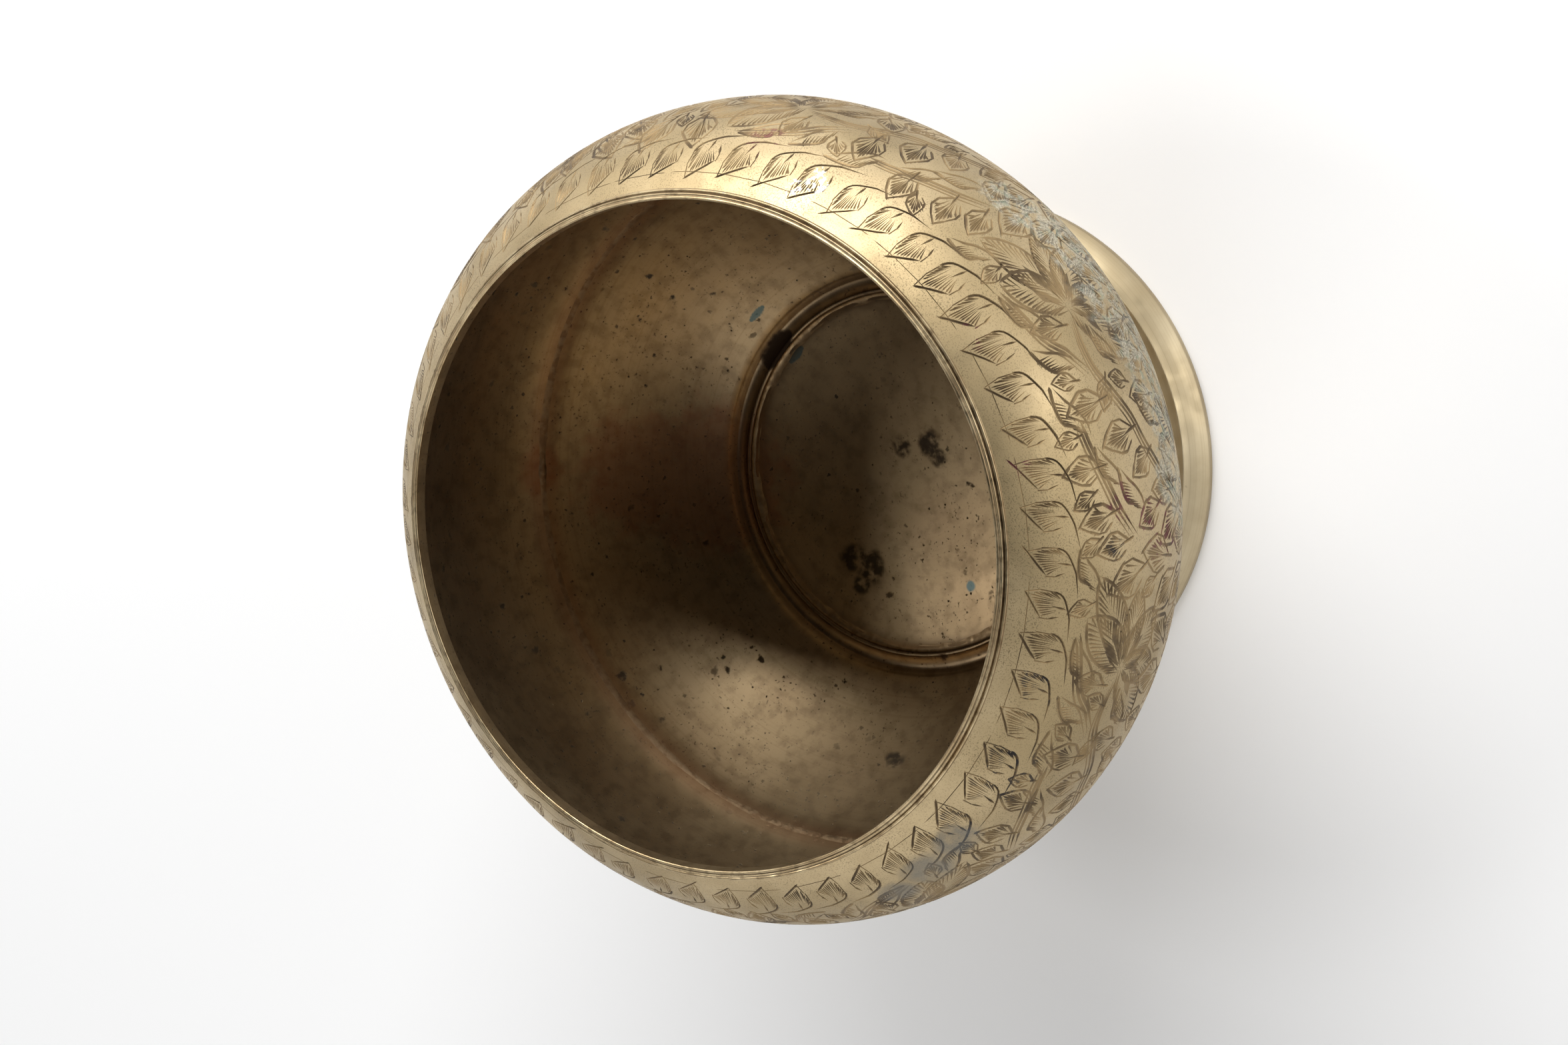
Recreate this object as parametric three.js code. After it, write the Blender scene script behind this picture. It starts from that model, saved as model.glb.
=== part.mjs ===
// Engraved brass lota water pot: a round-bellied bowl with a wide turned mouth on a
// flared, hollow foot. The bowl is two spun shells brazed together, its floor is closed
// by a dished disc, and the foot is a separate turned ring brazed underneath.
// Millimetres, +Z up, the foot's rim on z = 0 and the pot's axis on Z.

import * as THREE from 'three';

// Driving dimensions
const bellyDiameter = 127;
const bellyHeight = 63.5; // widest ring, above the table
const lipHeight = 91;
const mouthDiameter = 99.2;
const wall = 1.8;
const seamHeight = 47; // where the two shells are brazed
const seatRadius = 34.4; // flat underside of the bowl that the foot carries
const footDiameter = 89.6;

// Bowl curves: each is a quarter of a superellipse between the widest ring and the axis
const bellyRadius = bellyDiameter / 2;
const shoulderCurve = { radius: bellyRadius, height: 37.4, power: 2.51, upward: 1 };
const bowlCurve = { radius: bellyRadius, height: 54.4, power: 1.735, upward: -1 };
const innerShoulderCurve = { ...shoulderCurve, radius: bellyRadius - wall, height: 35.6 };
const innerBowlCurve = { ...bowlCurve, radius: bellyRadius - wall, height: 51.6 };
const seatHeight = curvePoint(bowlCurve, angleAtRadius(bowlCurve, seatRadius)).y;

// Turned lip, from the mouth outwards; it follows the shoulder's slope
const mouthRadius = mouthDiameter / 2;
const mouthEdgeRadius = 0.2;
const landWidth = 0.65;
const landDrop = 0.45;
const lipGrooveWidth = 0.2;
const lipGrooveDepth = 0.35;
const beadRadius = 0.27;
const beadCentre = { radius: mouthRadius + 1.25, height: lipHeight - 0.82 };
const shoulderEdgeRadius = mouthRadius + 1.6;

// Bowl floor
const ledgeOuterRadius = 33.8;
const floorHoleRadius = 30.2;
const ledgeHeight = seatHeight + 2;
const floorDiscRadius = 30;
const floorDiscThickness = 1.6;
const floorRimHeight = seatHeight + 1.2;
const floorDish = 2.6; // how far the disc's middle lies below its rim
const floorBrazeWidth = 0.9;

// Foot
const footRadius = footDiameter / 2;
const flangeHoleRadius = 28.3;
const flangeThickness = 2;
const neckRadius = 33;
const footCoveRadius = 41.6; // sharp lower edge of the cove
const footCoveTop = 17.5;
const footCoveBottom = 5.1;
const footWall = 2;
const footEdgeHeight = 1.5;
const footRimWidth = 1.9;

// Brazing
const brazeGap = 0.05;
const seamBrazeGap = 0.12;
const seamBrazeHeight = 2.4;
const seamBrazeThickness = 0.35;
const footBrazeSize = 1.3;

const segments = 72;
const curveSteps = 12;

const engravedBrass = { color: 0xa08a54, roughness: 0.38, metalness: 1 };
const plainBrass = { color: 0x9a8650, roughness: 0.34, metalness: 1 };
const floorBrass = { color: 0x93805a, roughness: 0.42, metalness: 1 };
const spelter = { color: 0xb09a63, roughness: 0.5, metalness: 1 };

// Point of a bowl curve at an angle up or down from the widest ring
function curvePoint(curve, angle) {
  const radius = curve.radius * Math.cos(angle) ** (2 / curve.power);
  const rise = curve.height * Math.sin(angle) ** (2 / curve.power);
  return new THREE.Vector2(radius, bellyHeight + curve.upward * rise);
}

function angleAtRadius(curve, radius) {
  return Math.acos((radius / curve.radius) ** (curve.power / 2));
}

function angleAtHeight(curve, height) {
  const rise = Math.abs(height - bellyHeight);
  return Math.asin((rise / curve.height) ** (curve.power / 2));
}

// Points along a bowl curve between two angles, both ends included
function curveArc(curve, fromAngle, toAngle, steps = curveSteps) {
  const points = [];
  for (let i = 0; i <= steps; i++) {
    points.push(curvePoint(curve, fromAngle + ((toAngle - fromAngle) * i) / steps));
  }
  return points;
}

// Points along part of an ellipse, angles in degrees anticlockwise from outwards
function ellipseArc(centreRadius, centreHeight, width, height, fromAngle, toAngle, steps) {
  const points = [];
  for (let i = 0; i <= steps; i++) {
    const angle = THREE.MathUtils.degToRad(fromAngle + ((toAngle - fromAngle) * i) / steps);
    const radius = centreRadius + width * Math.cos(angle);
    points.push(new THREE.Vector2(radius, centreHeight + height * Math.sin(angle)));
  }
  return points;
}

function at(radius, height) {
  return new THREE.Vector2(radius, height);
}

// Solid of revolution about Z; the outline runs anticlockwise with the axis on its left
function turned(name, outline, finish) {
  const geometry = new THREE.LatheGeometry(outline, segments);
  geometry.rotateX(Math.PI / 2);
  const mesh = new THREE.Mesh(geometry, new THREE.MeshStandardMaterial(finish));
  mesh.name = name;
  return mesh;
}

function closed(outline) {
  return [...outline, outline[0].clone()];
}

// Bead, groove, sloping land and rounded mouth edge, from the shoulder inwards
function lipOutline() {
  const landOuter = mouthRadius + mouthEdgeRadius + landWidth;
  const landOuterHeight = lipHeight - landDrop;
  return [
    ...ellipseArc(
      beadCentre.radius, beadCentre.height, beadRadius, beadRadius, -20, 150, 5),
    at(landOuter + lipGrooveWidth / 2, landOuterHeight - lipGrooveDepth),
    at(landOuter, landOuterHeight),
    ...ellipseArc(
      mouthRadius + mouthEdgeRadius, lipHeight - mouthEdgeRadius,
      mouthEdgeRadius, mouthEdgeRadius, 90, 180, 3),
  ];
}

function shoulderShell() {
  const outerSeam = angleAtHeight(bowlCurve, seamHeight);
  const innerSeam = angleAtHeight(innerBowlCurve, seamHeight);
  const outline = [
    ...curveArc(bowlCurve, outerSeam, 0, 5),
    ...curveArc(shoulderCurve, 0, angleAtRadius(shoulderCurve, shoulderEdgeRadius)).slice(1),
    ...lipOutline(),
    ...curveArc(innerShoulderCurve, angleAtRadius(innerShoulderCurve, mouthRadius), 0, 10),
    ...curveArc(innerBowlCurve, 0, innerSeam, 5).slice(1),
  ];
  return turned('shoulder_shell', closed(outline), engravedBrass);
}

function bowlShell() {
  const outerSeam = angleAtHeight(bowlCurve, seamHeight);
  const innerSeam = angleAtHeight(innerBowlCurve, seamHeight);
  const stepRadius = ledgeOuterRadius + 0.3;
  const outline = [
    at(floorHoleRadius, seatHeight),
    ...curveArc(bowlCurve, angleAtRadius(bowlCurve, seatRadius), outerSeam),
    ...curveArc(innerBowlCurve, innerSeam, angleAtRadius(innerBowlCurve, stepRadius)),
    at(ledgeOuterRadius, ledgeHeight),
    at(floorHoleRadius, ledgeHeight),
  ];
  return turned('bowl_shell', closed(outline), engravedBrass);
}

// Low bead of spelter along the joint between the shells, inside the bowl
function seamBraze() {
  const half = seamBrazeHeight / 2;
  const low = curvePoint(innerBowlCurve, angleAtHeight(innerBowlCurve, seamHeight - half));
  const high = curvePoint(innerBowlCurve, angleAtHeight(innerBowlCurve, seamHeight + half));
  const along = high.clone().sub(low).normalize();
  const inward = at(-along.y, along.x);
  const onWall = (share, lift) => low.clone().lerp(high, share).addScaledVector(inward, lift);
  const outline = [
    onWall(0, seamBrazeGap),
    onWall(1, seamBrazeGap),
    onWall(0.7, seamBrazeGap + seamBrazeThickness),
    onWall(0.3, seamBrazeGap + seamBrazeThickness),
  ];
  return turned('seam_braze', closed(outline), spelter);
}

// Dished disc whose spigot drops into the foot's flange and whose rim rests on it
function floorDisc() {
  const spigotRadius = flangeHoleRadius - 0.2;
  const dishHeight = (radius) =>
    floorRimHeight - floorDish * (1 - (radius / floorDiscRadius) ** 2);
  const rings = [];
  for (let i = 0; i <= 6; i++) {
    rings.push((floorDiscRadius * i) / 6);
  }
  const underside = rings.slice(0, -1).map((radius) =>
    at(radius, dishHeight(radius) - floorDiscThickness));
  const outline = [
    ...underside,
    at(spigotRadius, dishHeight(spigotRadius) - floorDiscThickness),
    at(spigotRadius, seatHeight),
    at(floorDiscRadius, seatHeight),
    ...rings.reverse().map((radius) => at(radius, dishHeight(radius))),
  ];
  return turned('floor_disc', outline, floorBrass);
}

// Fillet of spelter in the corner between the floor disc and the hole it closes
function floorBraze() {
  const outer = floorHoleRadius - brazeGap;
  const low = floorRimHeight + brazeGap;
  const high = ledgeHeight - brazeGap;
  const outline = [
    at(outer - floorBrazeWidth, low),
    at(outer, low),
    at(outer, high),
    ...ellipseArc(outer - floorBrazeWidth, high, floorBrazeWidth, high - low - 0.1, -10, -80, 3),
  ];
  return turned('floor_braze', closed(outline), spelter);
}

function footRing() {
  const coveWidth = footCoveRadius - neckRadius;
  const coveDepth = footCoveTop - footCoveBottom;
  const innerCoveWidth = coveWidth + footWall;
  const innerCoveDepth = coveDepth + footWall;
  const rimInner = footRadius - 0.4 - footRimWidth;
  const outline = [
    at(rimInner, 0),
    at(footRadius - 0.4, 0),
    at(footRadius, 0.4),
    at(footRadius, footEdgeHeight),
    at(footRadius - 1.45, footEdgeHeight + 1.8), // the flared band is slightly convex
    at(footCoveRadius + 0.25, footCoveBottom - 0.35),
    ...ellipseArc(footCoveRadius, footCoveTop, coveWidth, coveDepth, 270, 180, 10),
    at(neckRadius, seatHeight),
    at(flangeHoleRadius, seatHeight),
    at(flangeHoleRadius, seatHeight - flangeThickness),
    at(footCoveRadius - innerCoveWidth, seatHeight - flangeThickness),
    ...ellipseArc(
      footCoveRadius, footCoveTop, innerCoveWidth, innerCoveDepth, 180, 262, 8),
  ];
  return turned('foot_ring', closed(outline), plainBrass);
}

// Fillet of spelter outside, between the foot's neck and the bowl's flat underside
function footBraze() {
  const inner = neckRadius + brazeGap;
  const top = seatHeight - brazeGap;
  const outline = [
    at(inner, top - footBrazeSize),
    ...ellipseArc(
      inner + footBrazeSize, top - footBrazeSize, footBrazeSize * 0.9, footBrazeSize * 0.9,
      170, 100, 3),
    at(inner + footBrazeSize, top),
    at(inner, top),
  ];
  return turned('foot_braze', closed(outline), spelter);
}

const pot = new THREE.Group();
pot.name = 'lota_water_pot';
pot.add(
  shoulderShell(),
  bowlShell(),
  seamBraze(),
  floorDisc(),
  floorBraze(),
  footRing(),
  footBraze(),
);

export default pot;
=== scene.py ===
"""Looks of the engraved brass lota.

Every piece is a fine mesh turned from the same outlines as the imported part. The engraving on
the outside of the bowl is real geometry: each stroke of the graver is a V-shaped cut.
Lengths are millimetres until a mesh is made. A place on the outside of the bowl is given as
(turn, along): degrees round the pot, and millimetres down its face from the mouth.
"""
import math
import random

import bmesh
import bpy
import numpy as np
from mathutils import Matrix, Vector
from mathutils.geometry import delaunay_2d_cdt


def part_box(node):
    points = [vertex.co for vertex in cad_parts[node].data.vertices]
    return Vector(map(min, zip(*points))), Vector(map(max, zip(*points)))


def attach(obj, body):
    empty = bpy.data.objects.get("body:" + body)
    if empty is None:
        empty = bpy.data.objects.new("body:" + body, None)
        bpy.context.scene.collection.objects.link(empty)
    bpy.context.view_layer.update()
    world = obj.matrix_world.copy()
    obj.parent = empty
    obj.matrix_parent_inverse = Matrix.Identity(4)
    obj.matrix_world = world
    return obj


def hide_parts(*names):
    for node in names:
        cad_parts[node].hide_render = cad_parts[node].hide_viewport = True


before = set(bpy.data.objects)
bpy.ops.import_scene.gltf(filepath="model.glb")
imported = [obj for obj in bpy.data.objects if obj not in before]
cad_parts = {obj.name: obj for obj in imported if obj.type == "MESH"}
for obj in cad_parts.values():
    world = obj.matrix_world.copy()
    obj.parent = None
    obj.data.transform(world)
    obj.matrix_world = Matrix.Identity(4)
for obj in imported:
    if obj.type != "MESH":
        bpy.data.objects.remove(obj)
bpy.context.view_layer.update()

MM = 0.001
ROUND_STEPS = 360  # corners round the plain turned faces

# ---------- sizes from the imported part

shoulder_low, shoulder_high = (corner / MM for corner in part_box("shoulder_shell"))
bowl_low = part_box("bowl_shell")[0] / MM
floor_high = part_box("floor_disc")[1] / MM
foot_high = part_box("foot_ring")[1] / MM
BELLY_RADIUS = shoulder_high.x
LIP_HEIGHT = shoulder_high.z
SEAM_HEIGHT = shoulder_low.z
SEAT_HEIGHT = bowl_low.z
FLOOR_RADIUS = floor_high.x
FLOOR_RIM_HEIGHT = floor_high.z
FOOT_RADIUS = foot_high.x - 0.01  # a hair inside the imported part

BELLY_HEIGHT = 63.5
MOUTH_RADIUS = 49.6
SEAT_RADIUS = 34.4
WALL = 1.8
HOLE_RADIUS = 30.2  # the bowl's bottom is open here, and the floor disc closes it
LEDGE_RADIUS = 33.8
LEDGE_HEIGHT = SEAT_HEIGHT + 2
GROOVE_DEPTH = 0.55  # the ledge round the floor is hollowed into a groove
STEP_RADIUS = 34.1
EASING = 0.15  # how far a sharp edge is rounded off
JOINT_SWELL = 0.27  # how far the inside stands in along the shells' joint
JOINT_SWELL_REACH = 2.2
INNER_GROOVE, OUTER_GROOVE, LIP_WIDTH = 0.53, 1.04, 1.6  # across the lip, from the mouth's edge

# Each quarter of the bowl is a superellipse: radius, height, power, and up or down
SHOULDER = (BELLY_RADIUS, 37.4, 2.51, 1)
BOWL = (BELLY_RADIUS, 54.4, 1.735, -1)
INNER_SHOULDER = (BELLY_RADIUS - WALL, 35.6, 2.51, 1)
INNER_BOWL = (BELLY_RADIUS - WALL, 51.6, 1.735, -1)

# ---------- turned outlines


def curve_point(curve, angle):
    radius, height, power, upward = curve
    rise = height * math.sin(angle) ** (2 / power)
    return radius * math.cos(angle) ** (2 / power), BELLY_HEIGHT + upward * rise


def angle_at_radius(curve, radius):
    return math.acos((radius / curve[0]) ** (curve[2] / 2))


def angle_at_height(curve, height):
    rise = abs(height - BELLY_HEIGHT)
    return math.asin((rise / curve[1]) ** (curve[2] / 2))


def curve_arc(curve, start, stop, steps):
    return [curve_point(curve, start + (stop - start) * i / steps) for i in range(steps + 1)]


def ellipse_arc(radius, height, width, depth, start, stop, steps):
    """Points along part of an ellipse, angles in degrees anticlockwise from outwards."""
    points = []
    for i in range(steps + 1):
        angle = math.radians(start + (stop - start) * i / steps)
        points.append((radius + width * math.cos(angle), height + depth * math.sin(angle)))
    return points


class Face:
    """One side of a turned wall, from its upper end down, measured along its length."""

    def __init__(self, points):
        self.points = np.array(points)
        lengths = np.hypot(*np.diff(self.points, axis=0).T)
        self.along = np.concatenate([[0], np.cumsum(lengths)])
        tangent = np.gradient(self.points, self.along, axis=0)
        tangent /= np.linalg.norm(tangent, axis=1)[:, None]
        self.normal = np.stack([-tangent[:, 1], tangent[:, 0]], axis=1)

    def at(self, along):
        along = np.asarray(along, float)
        pick = [np.interp(along, self.along, column) for column in self.points.T]
        lean = [np.interp(along, self.along, column) for column in self.normal.T]
        return pick[0], pick[1], lean[0], lean[1]

    def along_at_height(self, height):
        return float(np.interp(-height, -self.points[:, 1], self.along))


FACE_STEPS = 300
OUTSIDE = Face(
    curve_arc(SHOULDER, angle_at_radius(SHOULDER, MOUTH_RADIUS), 0, FACE_STEPS)
    + curve_arc(BOWL, 0, angle_at_radius(BOWL, SEAT_RADIUS), FACE_STEPS)[1:]
)
SEAM_ALONG = OUTSIDE.along_at_height(SEAM_HEIGHT)
SHOULDER_EDGE_ALONG = 1.9  # where the turned lip ends and the engraved face begins
ENGRAVING_END = 66.0


def around(turn, radius, height):
    """The point at each turn round the pot's axis; any of the three may be an array."""
    angle = np.radians(turn)
    return np.stack(np.broadcast_arrays(
        -radius * np.sin(angle), -radius * np.cos(angle), height), axis=-1)


def on_bowl(turn, along, depth=0.0):
    """Points on the outside of the bowl, sunk by a depth along its normal."""
    radius, height, lean_out, lean_up = OUTSIDE.at(along)
    return around(turn, radius - depth * lean_out, height - depth * lean_up)


def bowl_normal(turn, along):
    return around(turn, *OUTSIDE.at(along)[2:])


# ---------- graver's cuts

DEEPEST = 0.2
LAY_STEP = 1.25  # spacing of the plain mesh between the cuts
LAY_ROWS = 52
HATCH_SWELL = 0.16  # a hatch is at its full width by this share of its length
START_TURN = -177  # where the pattern begins, at the back
LEAF_COUNT = 57
LEAF_ALONG = 7.4
GUIDE_ALONG = 4.7
FLOWER_TURNS = (-62, -14.5, 34.5, 83, 134, 186, 242)  # listed one by one, so not quite even
FLOWER_ALONG = 23
LOWER_FLOWER = (22, 21)  # from each flower to the one below it, in degrees and millimetres
PUNCH_COUNTS = (0, 0, 5, 8)  # how many round punch marks a petal's edge may have
LOWER_PETALS = 48
LOWER_PETAL_LENGTH, LOWER_PETAL_WIDTH = 8.5, 7.6
LOWER_BORDER = 64
FIELD_START = 11.8
ROOM_CELL = 0.5
ROOM_REACH = 9  # cells
ROOM_TURNS, ROOM_LENGTH = 380, 90  # how much of the flat pattern the map covers
OVERRUN = 3  # degrees past the back where cuts still count
hand = random.Random(12)
cuts = []


def smooth_line(points, steps):
    """A curve through the given points, with a few steps between each two."""
    points = np.array(points, float)
    ends = np.vstack([2 * points[0] - points[1], points, 2 * points[-1] - points[-2]])
    line = []
    for a, b, c, d in zip(ends[:-3], ends[1:-2], ends[2:-1], ends[3:]):
        for step in range(steps):
            t = step / steps
            line.append(0.5 * (
                2 * b + (c - a) * t + (2 * a - 5 * b + 4 * c - d) * t ** 2
                + (3 * b - a - 3 * c + d) * t ** 3))
    line.append(points[-1])
    return np.array(line)


def cut(points, width, depth, swell=0.1, lift=0.2, steps=1):
    """One stroke: a V groove that reaches full width by the share swell of its length.

    It stays even until the graver lifts out over the last share of the stroke.
    """
    line = smooth_line(points, steps) if steps > 1 else np.array(points, float)
    lengths = np.hypot(*np.diff(line, axis=0).T)
    share = np.concatenate([[0], np.cumsum(lengths)]) / max(lengths.sum(), 1e-6)
    inner = share[(share > swell + 0.04) & (share < 0.96 - lift)]
    ending = [1 - lift, 1] if lift else [1]
    wanted = np.concatenate([[0, swell], inner, ending])
    line = np.stack([np.interp(wanted, share, column) for column in line.T], axis=1)
    fullness = np.ones(len(wanted))
    fullness[0] = fullness[-1] = 0
    cuts.append((line, 0.5 * width * fullness, depth * fullness))


def hatch(start, stop, width, depth):
    """A short straight stroke, pressed in hard at its start and lifted out to its end."""
    cut([start, stop], width, depth, HATCH_SWELL, 0)


def jitter(amount):
    return hand.uniform(-amount, amount)


def placed(turn, along, heading, size=1.0, shake=0.06):
    """A motif's own frame: takes its (across, down) to a place on the bowl, turned clockwise."""
    cos, sin = math.cos(math.radians(heading)), math.sin(math.radians(heading))

    def at(x, y):
        x, y = (x + jitter(shake)) * size, (y + jitter(shake)) * size
        return turn + x * cos - y * sin, along + x * sin + y * cos

    return at


def border_leaf(turn):
    """One leaf of the row under the mouth, with the stem that trails to the next leaf."""
    at = placed(turn, LEAF_ALONG + jitter(0.2), jitter(5), 1 + jitter(0.07), 0.07)
    over = hand.choice([0.0, 0.0, 0.3, 1.1])
    heavy = 1 + jitter(0.25)
    cut([at(-2.1 - over, -3.5 - over * 0.5), at(0.6, -1.6), at(2.2, -0.4)], 0.36 * heavy, 0.13)
    cut([at(2.2, -0.7), at(2.3, 1.0)], 0.2, 0.07)
    cut([at(2.35, 0.6), at(1.9, 2.6)], 0.32 * heavy, 0.12, 0.3, 0.5)
    cut([at(-2.0, -3.4), at(-2.25, -0.9)], 0.2, 0.07)
    cut([at(-2.3, -1.2), at(-1.9, 1.5)], 0.22, 0.08)
    cut([at(-2.1, 1.1), at(-1.2, 2.8), at(0.9, 3.9), at(3.2, 4.6), at(5.8, 4.85)],
        0.36 * heavy, 0.14, 0.06, 0.4, 3)
    cut([at(0.8, 3.7), at(0.15, 1.0)], 0.36, 0.13, 0.25, 0.6)
    for i in range(6):
        y = 1.2 - i * 0.62
        end = min(2.6, y + 2.3)
        hatch(at(-1.95, y), at(-1.2 + end * 0.17, end), 0.27, 0.1)
    for i in range(9):
        x = -1.5 + i * 0.43
        top = -2.65 + (x + 1.5) * 0.62
        hatch(at(x, top), at(x * 0.5 + 0.1, 1.7 + jitter(0.6)), 0.27, 0.1)


def guide_line():
    """A circle scribed lightly by hand before the leaves were cut, so it is broken."""
    turn = -179.0
    while turn < 176:
        length = hand.uniform(9, 24)
        stop = min(turn + length, 179)
        cut([(turn, GUIDE_ALONG + jitter(0.08)), (stop, GUIDE_ALONG + jitter(0.08))],
            0.13, 0.04, 0.05, 0.05)
        turn = stop + hand.uniform(0.3, 4)


def spurs(at, start, stop, count):
    """Short ticks where the graver overran the edge of a leaf."""
    start, stop = np.array(start), np.array(stop)
    for i in range(count):
        x, y = start + (stop - start) * (i + 0.5) / count
        cut([at(x, y), at(x + jitter(0.2), y - 0.55)], 0.24, 0.08, 0.3, 0.5)


def margin(at, outline, width, depth):
    """A leaf's edge in straight strokes; each one overruns the corner a little."""
    corners = np.array(outline)
    for start, stop in zip(corners[:-1], corners[1:]):
        reach = stop - start
        cut([at(*(start - 0.1 * reach)), at(*(stop + 0.28 * reach))],
            width * (1 + jitter(0.3)), depth, 0.12, 0.25)


def fan_leaf(turn, along, heading, size, veins=11):
    """A pointed leaf, its tip up and turned clockwise by heading, hatched from edge to stalk."""
    at = placed(turn, along, heading, size)
    edge = 0.27 + 0.17 * size
    margin(at, ((0.15, -3.9), (-1.1, -2.5), (-2.1, -0.6), (-1.9, 1.1), (-0.2, 3.1)), edge, 0.09)
    margin(at, ((0.0, -3.8), (1.1, -2.3), (1.95, -0.8), (2.1, 0.5), (1.3, 2.0)), 0.8 * edge, 0.07)
    cut([at(-0.1, 4.6), at(0.0, 2.4), at(0.15, 0.4)], edge, 0.12, 0.1, 0.5)
    for i in range(veins):
        across = -1.85 + 3.7 * i / (veins - 1)
        top = -3.2 + abs(across) * 1.5
        hatch(at(across, top), at(across * 0.3 + 0.05, 1.5 + jitter(0.9)), 0.38, 0.1)
    spurs(at, (0.4, -3.2), (2.0, -0.9), hand.choice([0, 2, 4]))


def half_leaf(turn, along, heading, size):
    """A crescent whose upper side is hatched, tip to the left, stalk to the right."""
    at = placed(turn, along, heading, size)
    cut([at(-4.0, -0.5), at(-1.5, -1.1), at(0.8, -1.0), at(2.4, 0.3), at(3.2, 2.2)],
        0.6, 0.1, 0.05, 0.4, 3)
    cut([at(-3.8, -0.2), at(-1.8, 0.6), at(0.2, 2.0), at(2.4, 2.9), at(3.9, 2.7)],
        0.45, 0.09, 0.3, 0.2, 3)
    veins = 10
    for i in range(veins):
        across = -1.8 + 4.4 * i / (veins - 1)
        top = -0.95 + max(0, across - 0.6) * 0.8
        hatch(at(across, top), at(across + 1.1, top + 1.9 + jitter(0.2)), 0.31, 0.1)
    spurs(at, (-2.2, -1.1), (0.8, -1.0), hand.choice([0, 3, 5]))


def petal(turn, along, heading, length, width, veins=15):
    """A flower's petal from its root, its margins hatched inwards round a smooth middle."""
    base = placed(turn, along, heading, 1.0, 0.05)

    def at(x, y):
        return base(x * length, y * width / 2)

    def edge(x):
        return math.sin(math.pi * min(1, x ** 0.8)) ** 0.7 + 0.04

    for side in (-1, 1):
        cut([at(0.04, 0.12 * side), at(0.3, 0.85 * side), at(0.6, 1.0 * side),
             at(0.85, 0.6 * side), at(1.02, 0.0)], 0.5, 0.07, 0.2, 0.1, 3)
        for i in range(veins):
            x = 0.2 + 0.78 * i / (veins - 1)
            reach = 0.62 * edge(x) + 0.15 + jitter(0.08)
            hatch(at(x, 1.02 * edge(x) * side), at(x - 0.22, (edge(x) - reach) * side),
                  0.4 + jitter(0.08), 0.1)
    cut([at(0.06, 0.1), at(0.3, 0.16), at(0.56, 0.0)], width * 0.26, 0.05, 0.6, 0.35, 3)
    for i in range(hand.choice(PUNCH_COUNTS)):
        x = 0.45 + 0.07 * i
        cut([at(x - 0.02, 1.04 * edge(x)), at(x + 0.02, 1.04 * edge(x))], 0.4, DEEPEST, 0.5, 0.5)


def stem(points):
    """Three shallow strokes drawn side by side."""
    width, depth = 0.6, 0.07
    for i, share in enumerate((1, 0.8, 0.55)):
        beside = [(x + 0.48 * i + jitter(0.08), y - 0.52 * i + jitter(0.08)) for x, y in points]
        cut(beside, width * share, depth * share, 0.1, 0.3, 4)


def flower(turn, along):
    """Six petals round one root: the longest reach back along the vine."""
    for heading, length, width in (
        (-153, 15.0, 5.4), (-127, 11.4, 6.0), (168, 10.8, 4.8),
        (131, 10.6, 5.8), (84, 9.6, 4.8), (42, 12.4, 5.8),
    ):
        petal(turn, along, heading + jitter(4), length * (1 + jitter(0.05)), width)


def vine(turn, along):
    """What grows between one flower and the next: stems with their leaves."""
    def at(x, y):
        return turn + x, along + y

    stem([at(1, -0.2), at(4.5, -1.0), at(8.5, -0.8), at(12, 1.2), at(16, 4), at(20.5, 6.5),
          at(27, 13), at(31, 20)])
    stem([at(-5.5, -9.6), at(2.5, -7.2), at(6, -4), at(9.5, -1.5)])
    stem([at(14.5, -7), at(19.5, -6), at(27.5, -2.5), at(31.5, 1)])
    for x, y, heading, size in (
        (-1.0, -9.0, 8, 1.0), (6.5, -7.9, 38, 0.95), (13.4, -9.0, 6, 1.05),
        (21.8, -4.6, 14, 0.85), (25.5, -0.6, 20, 0.95), (35.0, -9.6, 8, 0.85),
        (16.5, 8.6, 30, 1.0), (24.5, 13.0, 35, 1.0), (6.5, 2.6, 10, 0.9),
    ):
        half_leaf(*at(x, y), heading + jitter(5), size)
    for x, y, heading, size in (
        (2.0, -5.6, -8, 0.85), (13.4, -4.8, 4, 1.05), (21.5, -8.2, 0, 0.95),
        (28.2, -6.8, 6, 0.95), (32.2, -4.2, 8, 0.9), (18.3, -0.2, 6, 1.05),
        (22.3, 4.0, 22, 0.9), (14.0, 8.5, -4, 0.95), (26.5, 9.0, -12, 0.95),
        (12.4, -0.6, 60, 0.7), (29.0, 4.5, 26, 0.95),
    ):
        fan_leaf(*at(x, y), heading + jitter(6), size)


class Room:
    """A coarse map of the bowl that tells how far the nearest cut is."""

    def __init__(self):
        self.taken = np.zeros((int(ROOM_TURNS / ROOM_CELL), int(ROOM_LENGTH / ROOM_CELL)), bool)
        self.seen = 0

    def cell(self, places):
        return ((np.asarray(places) + (ROOM_TURNS / 2, 0)) / ROOM_CELL).astype(int)

    def update(self):
        for line, _, _ in cuts[self.seen:]:
            for share in np.linspace(0, 1, 5):
                cells = self.cell(line[:-1] + (line[1:] - line[:-1]) * share)
                ok = (cells >= 0).all(1) & (cells < self.taken.shape).all(1)
                self.taken[tuple(cells[ok].T)] = True
        self.seen = len(cuts)

    def clearance(self, place):
        """How far the nearest cut is, in millimetres or degrees, up to the map's reach."""
        x, y = self.cell(place)
        left, top = max(0, x - ROOM_REACH), max(0, y - ROOM_REACH)
        found = np.argwhere(self.taken[left:x + ROOM_REACH + 1, top:y + ROOM_REACH + 1])
        if not len(found):
            return ROOM_REACH * ROOM_CELL
        return float(np.hypot(*(found + (left, top) - (x, y)).T).min()) * ROOM_CELL


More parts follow.
